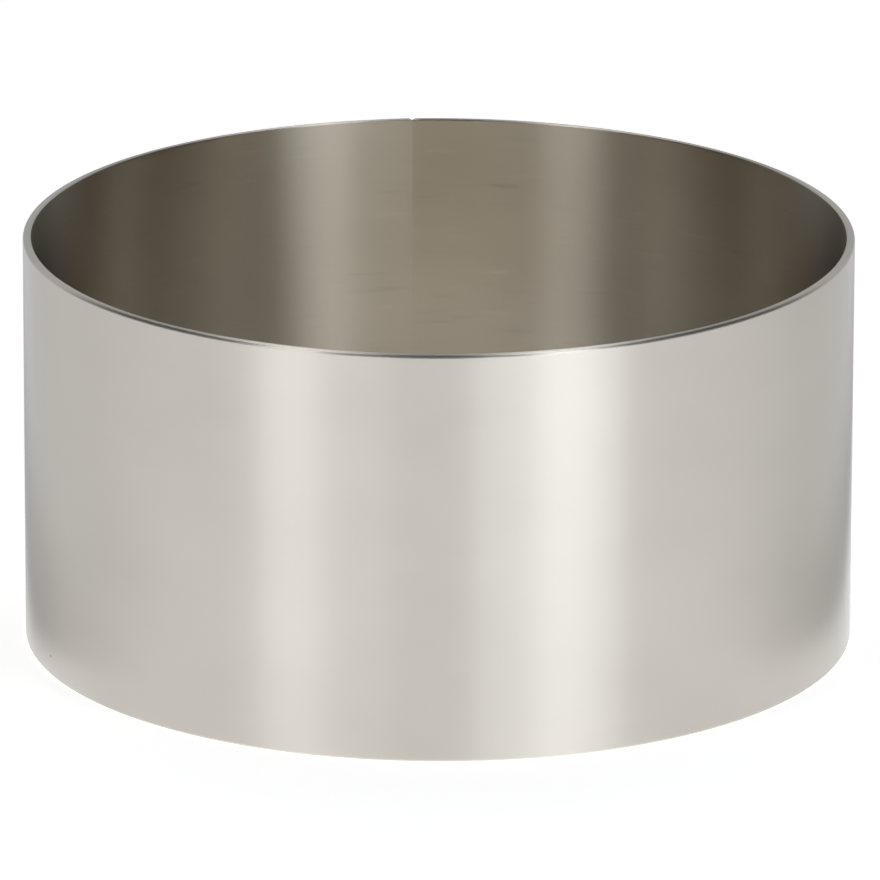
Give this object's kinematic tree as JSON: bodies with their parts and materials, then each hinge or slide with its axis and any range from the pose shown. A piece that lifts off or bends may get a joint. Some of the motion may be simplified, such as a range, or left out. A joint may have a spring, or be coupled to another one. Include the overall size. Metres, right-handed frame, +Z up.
{
  "type": "food ring",
  "caption": "Round band of satin stainless steel, open at top and bottom, rolled from a strip and closed by a weld, for cutting, moulding and plating food.",
  "frame": {"origin": "centre of the ring on the surface that it stands on", "axes": "+Z up along the ring's axis, +Y towards the weld, -Y towards the bare front wall"},
  "size_m": [0.08, 0.0801, 0.04],
  "materials": {
    "band_steel": "satin, brushed round the ring",
    "weld_steel": "ground nearly flush, a little matt"
  },
  "bodies": {
    "root": {"rolled_band": "band_steel", "seam_weld": "weld_steel"}
  },
  "joints": []
}
